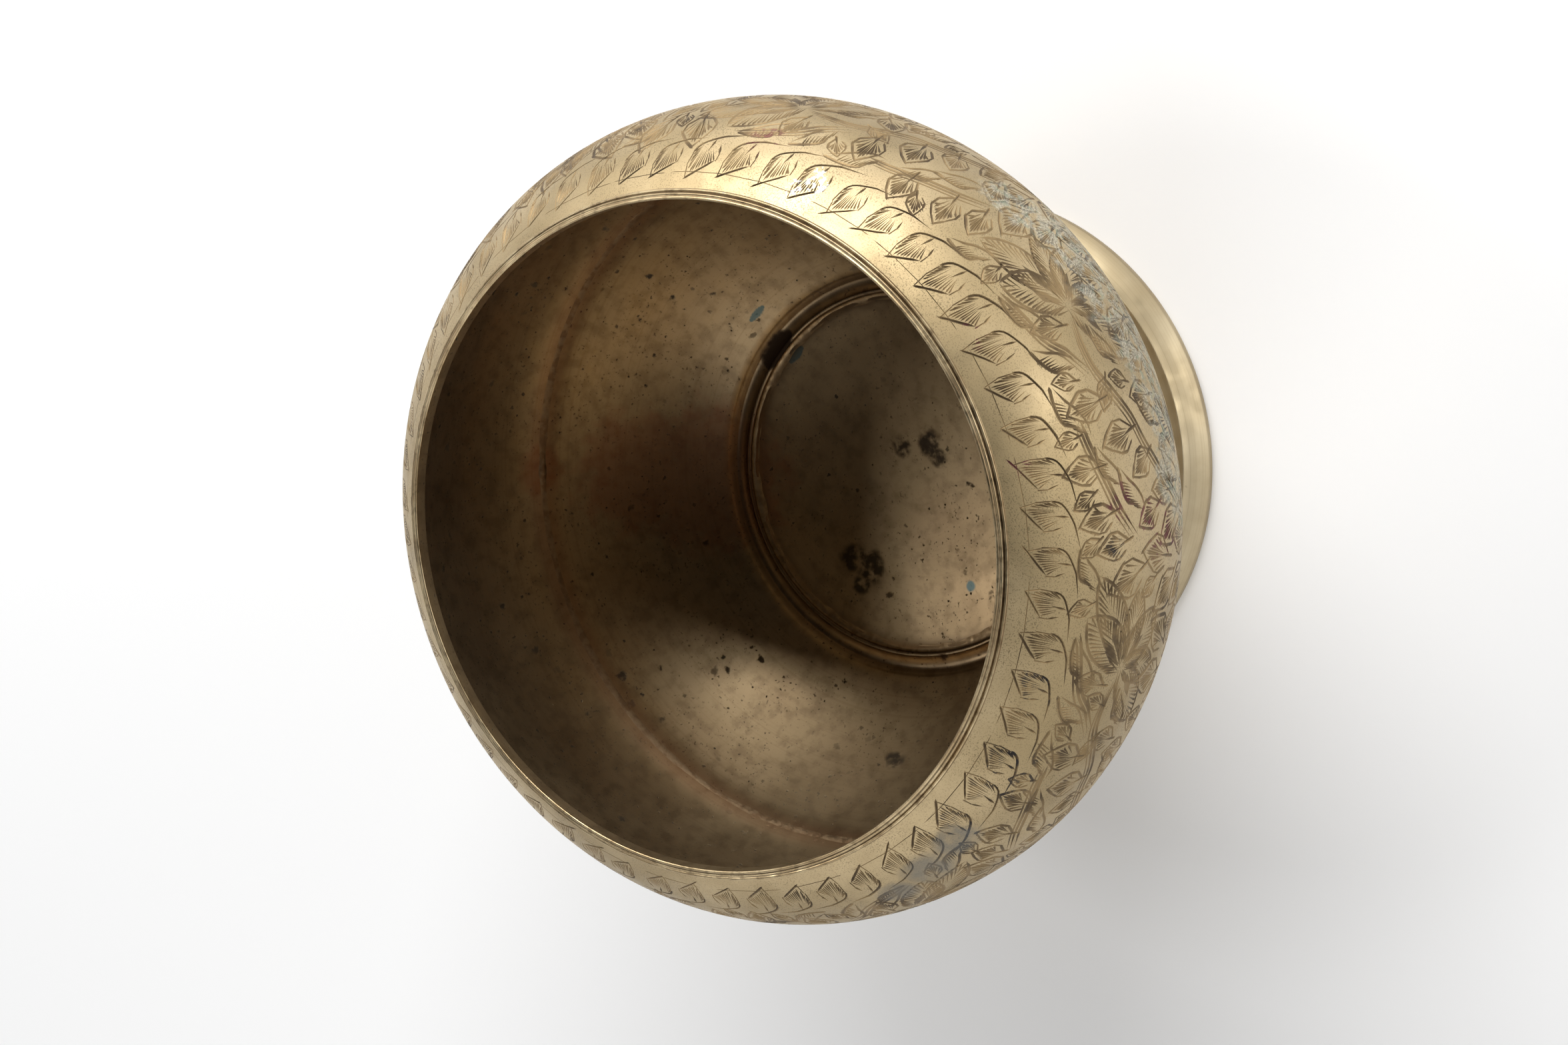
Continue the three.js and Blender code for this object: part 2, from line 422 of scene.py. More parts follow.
def fill_with_leaves(top, bottom):
    """Leaves of every size, wherever the flowers and the vine have left room."""
    room = Room()
    row_step, turn_step = 1.3, 1.6
    for size, needed, veins in ((1.2, 2.3, 12), (0.9, 1.7, 10), (0.6, 1.15, 7)):
        for along in np.arange(top + 1.2, bottom, row_step):
            for turn in np.arange(START_TURN - 1, 178, turn_step):
                place = (turn + jitter(0.5), along + jitter(0.5))
                room.update()
                if room.clearance(place) > needed:
                    fan_leaf(*place, jitter(35), size, veins)


def engrave():
    """The whole pattern: a row of leaves, the flowers on their vine, and a lower border."""
    guide_line()
    for i in range(LEAF_COUNT):
        border_leaf(START_TURN - 0.2 + 360 * i / LEAF_COUNT + jitter(0.25))
    for turn in FLOWER_TURNS:
        flower(turn, FLOWER_ALONG + jitter(0.5))
        vine(turn, FLOWER_ALONG + jitter(0.4))
        flower(turn + LOWER_FLOWER[0], FLOWER_ALONG + LOWER_FLOWER[1] + jitter(0.5))
    for i in range(LOWER_PETALS):
        petal(START_TURN + 360 * i / LOWER_PETALS, LOWER_BORDER, -90 + jitter(6),
              LOWER_PETAL_LENGTH, LOWER_PETAL_WIDTH, 10)
    fill_with_leaves(FIELD_START, LOWER_BORDER - 3)


def wrapped(all_cuts):
    """The cuts, with a copy one turn away of each that crosses the line where the turn wraps."""
    kept = []
    for line, half, depth in all_cuts:
        for shift in (-360, 0, 360):
            moved = line + (shift, 0)
            if moved[:, 0].max() > -180 - OVERRUN and moved[:, 0].min() < 180 + OVERRUN:
                kept.append((moved, half, depth))
    return kept


def groove_mesh(all_cuts):
    """Vertices (turn, along) and triangles of the engraved face, laid out flat.

    Every groove gives its two sides and its bottom as edges that the triangles keep to.
    """
    points, edges = [], []
    for line, half, depth in all_cuts:
        ahead = np.gradient(line, axis=0)
        ahead /= np.linalg.norm(ahead, axis=1)[:, None] + 1e-9
        side = np.stack([-ahead[:, 1], ahead[:, 0]], axis=1) * half[:, None]
        first = len(points)
        count = len(line)
        points += [*line, *(line + side)[1:-1], *(line - side)[1:-1]]
        middle = [first + i for i in range(count)]
        left = [first, *(first + count + i for i in range(count - 2)), first + count - 1]
        right = [first, *(first + 2 * count - 2 + i for i in range(count - 2)),
                 first + count - 1]
        for chain in (middle, left, right):
            edges += zip(chain[:-1], chain[1:])
    points = points + frame_points(points, edges)
    flat = delaunay_2d_cdt([Vector(p) for p in points], edges, [], 0, 1e-5, False)
    corners = np.array([tuple(p) for p in flat[0]])
    faces = np.array([f for f in flat[2] if len(f) == 3])
    middle = corners[faces].mean(axis=1)
    inside = (np.abs(middle[:, 0]) < 180) & (middle[:, 1] > SHOULDER_EDGE_ALONG)
    inside &= middle[:, 1] < ENGRAVING_END
    return corners, faces[inside]


def frame_points(points, edges):
    """Adds the border of the engraved face, the shells' joint, and an even lay of points."""
    added = []
    base = len(points)

    def chain(row):
        start = base + len(added)
        added.extend(row)
        edges.extend((start + i, start + i + 1) for i in range(len(row) - 1))

    turns = np.linspace(-180, 180, ROUND_STEPS + 1)
    for along in (SHOULDER_EDGE_ALONG, SEAM_ALONG, ENGRAVING_END):
        chain([(turn, along) for turn in turns])
    rows = np.linspace(SHOULDER_EDGE_ALONG, ENGRAVING_END, LAY_ROWS)
    for turn in (-180, 180):
        chain([(turn, along) for along in rows])
    for i, along in enumerate(rows[1:-1]):
        shift = LAY_STEP / 2 * (i % 2)
        added.extend((turn, along) for turn in np.arange(-179 + shift, 179.4, LAY_STEP))
    return added


CELL = 2.0  # cuts are looked up by square cells of this size
CELL_MARGIN = 0.4  # each cut also counts in the cells this near to it
GROUND_DEPTH = 0.003  # a face less sunk than this is ground, not a cut
LEAST_TONE = 0.35  # the cut attribute of the shallowest cut; the ground has 0


def by_cell(places):
    """Indices of the places, gathered by the square cell that each lies in."""
    cells = {}
    for i, key in enumerate(map(tuple, np.floor(places / CELL).astype(int))):
        cells.setdefault(key, []).append(i)
    return cells


def groove_depths(places, all_cuts):
    """How deep the graver went at each place: the deepest of the cuts that cross it."""
    lines, halves, depths = (
        np.vstack([np.stack([values[:-1], values[1:]], axis=1) for values in column])
        for column in zip(*all_cuts))
    starts, stops = lines[:, 0], lines[:, 1]
    low = np.floor((np.minimum(starts, stops) - CELL_MARGIN) / CELL).astype(int)
    high = np.floor((np.maximum(starts, stops) + CELL_MARGIN) / CELL).astype(int)
    crossing = {}
    for i, (a, b) in enumerate(zip(low, high)):
        for x in range(a[0], b[0] + 1):
            for y in range(a[1], b[1] + 1):
                crossing.setdefault((x, y), []).append(i)
    found = np.zeros(len(places))
    for cell, members in by_cell(places).items():
        near = crossing.get(cell)
        if not near:
            continue
        p = places[members][:, None, :]
        a, b = starts[near][None], stops[near][None]
        run = b - a
        share = ((p - a) * run).sum(2) / np.maximum((run ** 2).sum(2), 1e-9)
        share = np.clip(share, 0, 1)
        gap = np.linalg.norm(p - a - run * share[..., None], axis=2)
        half = halves[near][None, :, 0] * (1 - share) + halves[near][None, :, 1] * share
        deep = depths[near][None, :, 0] * (1 - share) + depths[near][None, :, 1] * share
        found[members] = (deep * np.clip(1 - gap / np.maximum(half, 1e-6), 0, 1)).max(axis=1)
    return found


# ---------- meshes

OUTER, LIP, INNER = range(3)  # the shells' material slots
BACK = 179.99999  # a corner past this turn is on the line where the flat pattern meets itself
SHARP_ANGLE = 40


def zipper(ring_a, turns_a, ring_b, turns_b):
    """Triangles between two rings whose corners stand at different turns, both sorted."""
    ring_a, turns_a = [*ring_a, ring_a[0]], [*turns_a, turns_a[0] + 360]
    ring_b, turns_b = [*ring_b, ring_b[0]], [*turns_b, turns_b[0] + 360]
    end_a, end_b = len(ring_a) - 1, len(ring_b) - 1
    triangles = []
    i = j = 0
    while i < end_a or j < end_b:
        if j == end_b or (i < end_a and turns_a[i + 1] <= turns_b[j + 1]):
            triangles.append((ring_a[i], ring_a[i + 1], ring_b[j]))
            i += 1
        else:
            triangles.append((ring_a[i], ring_b[j + 1], ring_b[j]))
            j += 1
    return triangles


def lathe_faces(rings):
    """Faces between neighbouring rings of equal length; a ring may be one point repeated."""
    faces = []
    for upper, lower in zip(rings[:-1], rings[1:]):
        for i in range(len(upper)):
            k = (i + 1) % len(upper)
            corners = tuple(dict.fromkeys((upper[i], lower[i], lower[k], upper[k])))
            if len(corners) > 2:
                faces.append(corners)
    return faces


def in_scene(name, data):
    added = bpy.data.objects.new(name, data)
    bpy.context.scene.collection.objects.link(added)
    return added


def make_object(name, points, faces):
    """A closed piece with its faces looking outwards, from points in millimetres."""
    mesh = bpy.data.meshes.new(name)
    mesh.from_pydata([tuple(p) for p in np.asarray(points) * MM], [], faces)
    work = bmesh.new()
    work.from_mesh(mesh)
    bmesh.ops.recalc_face_normals(work, faces=work.faces)
    work.to_mesh(mesh)
    work.free()
    mesh.shade_smooth()
    mesh.set_sharp_from_angle(angle=math.radians(SHARP_ANGLE))
    return in_scene(name, mesh)


# ---------- the two engraved shells


def shell(name, flat, faces, depths, face_depths, ring_along, walls):
    """A shell of the bowl: its engraved face, closed by turned rings through its other sides.

    The rings start at ring_along, the even edge of the engraved face, and run round to the
    shells' joint; each wall is a material slot and the points of its outline.
    """
    used = np.unique(faces)
    number = np.full(len(flat), -1)
    number[used] = np.arange(len(used))
    left, right = (
        sorted((i for i in used if side * flat[i, 0] > BACK), key=lambda i: flat[i, 1])
        for side in (-1, 1))
    assert len(left) == len(right), "the engraving does not meet itself at the back"
    for a, b in zip(left, right):
        number[b] = number[a]
    points = list(on_bowl(flat[used, 0], flat[used, 1], depths[used]))
    engraved_faces = [tuple(number[f]) for f in faces]

    def edge_ring(along):
        ring = [i for i in used if abs(flat[i, 1] - along) < 1e-4 and flat[i, 0] < BACK]
        ring.sort(key=lambda i: flat[i, 0])
        return [int(number[i]) for i in ring], [float(flat[i, 0]) for i in ring]

    last_ring, even_turns = edge_ring(ring_along)
    joint_ring, joint_turns = edge_ring(SEAM_ALONG)
    turned_faces, slots = [], []
    for slot, outline in walls:
        for radius, height in outline:
            next_ring = list(range(len(points), len(points) + len(even_turns)))
            points.extend(around(even_turns, radius, height))
            turned_faces += lathe_faces([last_ring, next_ring])
            slots += [slot] * len(even_turns)
            last_ring = next_ring
    joint_faces = zipper(last_ring, even_turns, joint_ring, joint_turns)
    piece = make_object(name, points, engraved_faces + turned_faces + joint_faces)
    slots = [OUTER] * len(engraved_faces) + slots + [INNER] * len(joint_faces)
    piece.data.polygons.foreach_set("material_index", slots)
    mark_engraving(piece.data, flat, used, depths, faces, face_depths)
    return piece


def mark_engraving(mesh, flat, used, depths, faces, face_depths):
    """Stores how deep each corner is cut, and gives the ground between cuts its true normal."""
    count = len(faces)
    corners = np.zeros(len(mesh.loops), int)
    mesh.loops.foreach_get("vertex_index", corners)
    is_cut = face_depths > GROUND_DEPTH
    cut_loops = np.arange(count * 3)[np.repeat(is_cut, 3)]
    ground_loops = np.arange(count * 3)[np.repeat(~is_cut, 3)]
    deep = np.zeros(len(mesh.vertices))
    deep[:len(used)] = depths[used]
    tone = np.zeros(len(mesh.loops), np.float32)
    mean_depth = np.repeat(face_depths, 3)[cut_loops]
    deepness = (mean_depth + deep[corners[cut_loops]]) / (2 * DEEPEST)
    tone[cut_loops] = LEAST_TONE + (1 - LEAST_TONE) * deepness
    mesh.attributes.new("cut", "FLOAT", "CORNER").data.foreach_set("value", tone)
    places = np.zeros((len(mesh.vertices), 2))
    places[:len(used)] = flat[used]
    normals = np.zeros((len(mesh.loops), 3), np.float32)
    at = places[corners[ground_loops]]
    normals[ground_loops] = bowl_normal(at[:, 0], at[:, 1])
    smooth = np.ones(len(mesh.polygons), bool)
    smooth[:count] = ~is_cut
    mesh.polygons.foreach_set("use_smooth", smooth)
    mesh.normals_split_custom_set([tuple(n) for n in normals])


def lip_outline():
    """From the engraved face up over a bead, two grooves and a land to the mouth's edge."""
    bead = ellipse_arc(MOUTH_RADIUS + 1.3, LIP_HEIGHT - 0.86, 0.24, 0.25, -20, 130, 8)
    outer_groove = (MOUTH_RADIUS + OUTER_GROOVE, LIP_HEIGHT - 0.67)
    land = ellipse_arc(MOUTH_RADIUS + 0.8, LIP_HEIGHT - 0.44, 0.17, 0.22, 10, 120, 6)
    inner_groove = (MOUTH_RADIUS + INNER_GROOVE, LIP_HEIGHT - 0.22)
    edge = ellipse_arc(MOUTH_RADIUS + 0.25, LIP_HEIGHT - 0.25, 0.25, 0.25, 60, 180, 7)
    return [*bead, outer_groove, *land, inner_groove, *edge]


def joint_swell(height):
    """The wall inside stands in a little where the two shells were hammered over the joint."""
    return JOINT_SWELL * math.exp(-((height - SEAM_HEIGHT) / JOINT_SWELL_REACH) ** 2)


def inner_face(upper, lower, steps):
    """The inside of the wall between two heights, from the upper one down."""
    points = []
    for height in np.linspace(upper, lower, steps + 1):
        curve = INNER_SHOULDER if height > BELLY_HEIGHT else INNER_BOWL
        radius = curve_point(curve, angle_at_height(curve, height))[0]
        points.append((radius - joint_swell(height), height))
    return points


def build_shells():
    engrave()
    all_cuts = wrapped(cuts)
    flat, faces = groove_mesh(all_cuts)
    depths = groove_depths(flat, all_cuts)
    middles = flat[faces].mean(axis=1)
    face_depths = groove_depths(middles, all_cuts)
    upper = middles[:, 1] < SEAM_ALONG
    mouth_top = curve_point(INNER_SHOULDER, angle_at_radius(INNER_SHOULDER, MOUTH_RADIUS))[1]
    shoulder = shell(
        "shoulder_engraved", flat, faces[upper], depths, face_depths[upper], SHOULDER_EDGE_ALONG,
        [(LIP, lip_outline()), (INNER, inner_face(mouth_top, SEAM_HEIGHT, 80))])
    step_height = curve_point(INNER_BOWL, angle_at_radius(INNER_BOWL, STEP_RADIUS))[1]
    underside = [
        tuple(float(x) for x in OUTSIDE.at(along)[:2])
        for along in np.linspace(ENGRAVING_END, OUTSIDE.along[-1], 14)[1:]
    ]
    underside += [(SEAT_RADIUS - EASING, SEAT_HEIGHT), (HOLE_RADIUS + EASING, SEAT_HEIGHT)]
    groove_middle = (HOLE_RADIUS + LEDGE_RADIUS) / 2
    ledge = [
        (HOLE_RADIUS, SEAT_HEIGHT + EASING), (HOLE_RADIUS, LEDGE_HEIGHT - 3 * EASING),
        *ellipse_arc(HOLE_RADIUS + 0.5, LEDGE_HEIGHT - 0.5, 0.5, 0.4, 165, 85, 7),
        *ellipse_arc(groove_middle, LEDGE_HEIGHT - 0.1, 1.25, GROOVE_DEPTH, 190, 350, 14),
        (LEDGE_RADIUS - 0.05, LEDGE_HEIGHT + 0.1), (STEP_RADIUS - 0.12, step_height - 0.2),
    ]
    inside = inner_face(SEAM_HEIGHT, step_height + 0.1, 44)[::-1]
    bowl = shell(
        "bowl_engraved", flat, faces[~upper], depths, face_depths[~upper], ENGRAVING_END,
        [(OUTER, underside), (INNER, ledge + inside)])
    return shoulder, bowl


# ---------- plain turned pieces

SHALLOW_BEND = math.radians(25)  # a corner that bends less than this is left as it is
NECK_RADIUS = 33.0
FLANGE_HOLE_RADIUS = 28.3
FOOT_WALL = 2.0
FOOT_WOBBLE = 0.0012  # how far the foot is out of round, as a share
COVE_RADIUS = 41.6  # lower edge of the foot's cove
COVE_TOP = 17.5
COVE_DEPTH = 12.4
FOOT_EDGE_HEIGHT = 1.5
FOOT_RIM_WIDTH = 2.3  # of the foot's flat face on the floor
DISH = 2.6
FLOOR_THICKNESS = 1.6
FLOOR_FILLET = (-1.2, 0.55)  # how far each fillet reaches outwards and up
FOOT_FILLET = (1.0, -1.0)
SEAM_WIDTH = 1.0
DROP_TURN = -160.5  # a drop of spelter that ran at the joint
DROP_SIZE = 1.3


def eased(outline):
    """A closed outline with each sharp corner rounded off; points on the axis stay."""
    points = np.array(outline, float)
    made = []
    for before, corner, after in zip(np.roll(points, 1, 0), points, np.roll(points, -1, 0)):
        back, ahead = before - corner, after - corner
        back_length, ahead_length = np.linalg.norm(back), np.linalg.norm(ahead)
        bend = -back @ ahead / (back_length * ahead_length)
        if bend > math.cos(SHALLOW_BEND) or corner[0] == 0:
            made.append(tuple(corner))
            continue
        reach = min(EASING, 0.4 * back_length, 0.4 * ahead_length)
        start = corner + back / back_length * reach
        stop = corner + ahead / ahead_length * reach
        for t in (0, 0.33, 0.67, 1):
            made.append(tuple(
                (1 - t) ** 2 * start + 2 * t * (1 - t) * corner + t ** 2 * stop))
    return made


def turned(name, outline_at, wobble=0.0):
    """A piece turned from an outline that may differ a little at each turn.

    An outline that starts on the axis makes a disc, and any other a ring.
    """
    points, columns = [], []
    for turn in np.arange(ROUND_STEPS) * 360 / ROUND_STEPS:
        angle = math.radians(turn)
        shrink = 1 - wobble * (0.5 + 0.5 * math.sin(3 * angle + 0.7) * math.cos(2 * angle))
        column = []
        for radius, height in outline_at(turn):
            if radius == 0 and columns:
                column.append(columns[0][len(column)])
                continue
            column.append(len(points))
            points.append(around(turn, radius * shrink, height))
        columns.append(column)
    rings = [list(ring) for ring in zip(*columns)]
    if outline_at(0)[0][0] > 0:
        rings.append(rings[0])
    return make_object(name, points, lathe_faces(rings))


def foot():
    """The flared foot: a flange under the bowl, a hollow cove, and a band that stands out."""
    cove_width = COVE_RADIUS - NECK_RADIUS
    inner_width, inner_depth = cove_width + FOOT_WALL, COVE_DEPTH + FOOT_WALL
    outline = eased([
        (FOOT_RADIUS - FOOT_RIM_WIDTH, 0), (FOOT_RADIUS - 0.4, 0), (FOOT_RADIUS, 0.4),
        (FOOT_RADIUS, FOOT_EDGE_HEIGHT),
        (FOOT_RADIUS - 0.7, 2.45), (FOOT_RADIUS - 1.45, FOOT_EDGE_HEIGHT + 1.8),
        (FOOT_RADIUS - 2.25, 4.1), (COVE_RADIUS + 0.25, COVE_TOP - COVE_DEPTH - 0.35),
        *ellipse_arc(COVE_RADIUS, COVE_TOP, cove_width, COVE_DEPTH, 270, 180, 28),
        (NECK_RADIUS, SEAT_HEIGHT), (FLANGE_HOLE_RADIUS, SEAT_HEIGHT),
        (FLANGE_HOLE_RADIUS, SEAT_HEIGHT - FOOT_WALL),
        (COVE_RADIUS - inner_width, SEAT_HEIGHT - FOOT_WALL),
        *ellipse_arc(COVE_RADIUS, COVE_TOP, inner_width, inner_depth, 180, 262, 24),
    ])
    return turned("foot_turned", lambda turn: outline, FOOT_WOBBLE)


def dish_height(radius):
    return FLOOR_RIM_HEIGHT - DISH * (1 - (radius / FLOOR_RADIUS) ** 2)


def dished_floor():
    spigot = FLANGE_HOLE_RADIUS - 0.2
    radii = np.linspace(0, FLOOR_RADIUS - 0.3, 24)
    underside = [(r, dish_height(r) - FLOOR_THICKNESS) for r in np.linspace(0, spigot, 16)]
    top = [(r, dish_height(r)) for r in radii[::-1]]
    outline = eased([*underside, (spigot, SEAT_HEIGHT), (FLOOR_RADIUS, SEAT_HEIGHT),
                     (FLOOR_RADIUS, FLOOR_RIM_HEIGHT - 0.1), *top])
    return turned("floor_dished", lambda turn: outline)


def ragged(turn, seed):
    """An uneven number near 1 that comes back to itself after a full turn."""
    angle = math.radians(turn)
    return 1 + 0.16 * math.sin(7 * angle + seed) + 0.12 * math.sin(17 * angle + 2.3 * seed) \
        + 0.08 * math.sin(41 * angle + 5.1 * seed)


def seam():
    """A thin uneven skin of spelter over the joint inside, with one drop that ran."""
    def outline_at(turn):
        away = ((turn - DROP_TURN + 180) % 360 - 180) * math.radians(BELLY_RADIUS - WALL)
        drop = math.exp(-(away / DROP_SIZE) ** 2)
        half = SEAM_WIDTH * ragged(turn, 1.0) * (1 + 0.5 * drop) / 2
        thick = 0.012 * ragged(turn, 2.0) + 0.2 * drop
        skin, back = [], []
        for share in np.linspace(-1, 1, 7):
            height = SEAM_HEIGHT + half * share
            radius = curve_point(INNER_BOWL, angle_at_height(INNER_BOWL, height))[0]
            radius -= joint_swell(height)
            skin.append((radius - thick * (1 - share ** 2) - 0.005, height))
            back.append((radius + 0.1, height))
        return skin + back[::-1]

    return turned("seam_skin", outline_at)


def corner_fillet(name, corner, width, height, seed):
    """Spelter in the corner between two turned faces, hollow across and uneven along."""
    def outline_at(turn):
        reach = width * ragged(turn, seed)
        rise = height * (0.8 + 0.2 * ragged(turn, seed + 3))
        bow = [(corner[0] + reach * (1 - math.sin(a)), corner[1] + rise * (1 - math.cos(a)))
               for a in np.linspace(0, math.pi / 2, 7)]
        return [corner, *bow]

    return turned(name, outline_at)


def fillets():
    """The spelter round the floor disc and round the foot's neck."""
    at_floor = corner_fillet(
        "floor_fillet", (HOLE_RADIUS - 0.03, FLOOR_RIM_HEIGHT - 0.15), *FLOOR_FILLET, 4.0)
    at_foot = corner_fillet(
        "foot_fillet", (NECK_RADIUS + 0.02, SEAT_HEIGHT - 0.02), *FOOT_FILLET, 6.0)
    return at_floor, at_foot


# ---------- materials

OBJECT_COORDINATES = 3
VORONOI_COLOUR = 1


def srgb(red, green, blue):
    """A colour given in the usual 0 to 255 steps, as the linear, opaque one that nodes take."""
    linear = (
        c / 12.92 if c <= 0.04045 else ((c + 0.055) / 1.055) ** 2.4
        for c in (red / 255, green / 255, blue / 255))
    return (*linear, 1)


class Nodes:
    """A node tree, filled one node at a time; an input may be a value or another's output."""

    def __init__(self, owner):
        owner.use_nodes = True
        self.tree = owner.node_tree
        self.tree.nodes.clear()

    def add(self, kind, values=None, output=0, **settings):
        node = self.tree.nodes.new(kind)
        for key, value in settings.items():
            setattr(node, key, value)
        for key, value in (values or {}).items():
            if isinstance(value, bpy.types.NodeSocket):
                self.tree.links.new(value, node.inputs[key])
            else:
                node.inputs[key].default_value = value
        return node.outputs[output] if node.outputs else None

    def ramp(self, value, low, high, bottom=0.0, top=1.0):
        """Rescales a value smoothly between two limits."""
        return self.add("ShaderNodeMapRange", {
            "Value": value, "From Min": low, "From Max": high, "To Min": bottom, "To Max": top,
        }, interpolation_type="SMOOTHSTEP")


class Paint(Nodes):
    """A material that starts as one colour and is painted over coat by coat."""

    def __init__(self, name, colour):
        self.material = bpy.data.materials.new(name)
        super().__init__(self.material)
        self.place = self.add("ShaderNodeTexCoord", output=OBJECT_COORDINATES)
        self.colour = colour

    def math(self, operation, a, b=0.0, c=0.0):
        return self.add("ShaderNodeMath", {0: a, 1: b, 2: c}, operation=operation)

    def times(self, a, b):
        return self.math("MULTIPLY", a, b)

    def most(self, values):
        """The largest of several values."""
        found = values[0]
        for value in values[1:]:
            found = self.math("MAXIMUM", found, value)
        return found

    def noise(self, size, detail, place=None):
        """Clouds whose blotches are about the given size across, in millimetres."""
        return self.add("ShaderNodeTexNoise", {
            "Vector": place or self.place, "Scale": 1 / (size * MM), "Detail": detail})

    def clouds(self, size, detail, low, high, bottom=0.0, top=1.0):
        """A noise rescaled between two limits."""
        return self.ramp(self.noise(size, detail), low, high, bottom, top)

    def mix(self, share, first, second):
        """Blends two colours."""
        return self.add("ShaderNodeMix", {0: share, 6: first, 7: second}, 2, data_type="RGBA")

    def coat(self, share, colour):
        """Covers the material with a colour, by a share that may vary from place to place."""
        self.colour = self.mix(share, self.colour, colour)

    def radius(self):
        """How far a point is from the pot's axis, in metres."""
        flat = self.add("ShaderNodeVectorMath", {0: self.place, 1: (1, 1, 0)},
                        operation="MULTIPLY")
        return self.add("ShaderNodeVectorMath", {0: flat}, 1, operation="LENGTH")

    def height(self):
        return self.add("ShaderNodeSeparateXYZ", {0: self.place}, 2)

    def turning(self, size):
        """Fine rings left by the lathe: a noise that is even all the way round."""
        around = self.add("ShaderNodeCombineXYZ", {0: self.radius(), 2: self.height()})
        return self.noise(size, 2, around)

    def blots(self, spots):
        """Stains with ragged edges as one mask, each a centre and a size in millimetres."""
        edge = self.math("MULTIPLY_ADD", self.noise(3, 4), 0.9, -0.45)
        found = []
        for centre, size in spots:
            away = self.add("ShaderNodeVectorMath", {
                0: self.place, 1: tuple(float(c) * MM for c in centre)}, 1, operation="DISTANCE")
            share = self.math("MULTIPLY_ADD", away, 1 / (size * MM), edge)
            found.append(self.ramp(share, 0.55, 1.0, 1, 0))
        return self.most(found)

    def stains(self, places):
        """Stains on the outside of the bowl, each a turn, a distance down its face and a size."""
        return self.blots([(on_bowl(turn, along), size) for turn, along, size in places])

    def pits(self, spacing, size, kept):
        """Small round spots: their spacing and size in millimetres, and the share kept."""
        cells = self.add("ShaderNodeTexVoronoi", {
            "Vector": self.place, "Scale": 1 / (spacing * MM)})
        colour = cells.node.outputs[VORONOI_COLOUR]
        reach = self.ramp(self.add("ShaderNodeSeparateColor", {0: colour}),
                          1 - kept, 1, 0, size / spacing / 2)
        ragged_edge = self.math("MULTIPLY_ADD", self.noise(0.5 * size, 2), size / spacing, reach)
        inside = self.math("SUBTRACT", ragged_edge, self.math("ADD", cells, 0.5 * size / spacing))
        strength = self.ramp(self.add("ShaderNodeSeparateColor", {0: colour}, 1), 0, 1, 0.3, 1)
        return self.times(self.ramp(inside, 0, 0.3 * size / spacing), strength)

    def close(self, roughness, height, relief, metallic=1.0):
        """Ends the material: height is bumped by relief, in millimetres."""
        bump = self.add("ShaderNodeBump", {
            "Height": height, "Distance": relief * MM, "Strength": 1.0})
        shader = self.add("ShaderNodeBsdfPrincipled", {
            "Base Color": self.colour, "Metallic": metallic, "Roughness": roughness,
            "Normal": bump})
        self.add("ShaderNodeOutputMaterial", {0: shader})
        return self.material


# Stains on the outside: degrees round, millimetres down from the mouth, and size
CHALK = ((-30, 29, 7), (-23, 32, 8), (-15, 34, 9), (-6, 36, 9), (3, 38, 9), (10, 35, 6),
         (14, 41, 8), (-24, 42, 10), (-10, 45, 10))
INK = ((12, 21, 4), (15, 25, 4), (17, 30, 5), (20, 34, 4), (-36, 4, 2), (-16, 6, 2.5),
       (4, 5, 2.5), (-62, 12, 4))
BLACK_INK = ((18, 18.5, 2.2), (52, 10, 7), (64, 9, 6), (38, 8.5, 5))
BLUE_GREY = ((66, 11, 4.5), (73, 12.5, 5), (80, 14, 4))
WHITE_FLECKS = ((-53, 5.5, 1.6), (-50, 7.5, 2.2), (-51, 9.5, 1.3))


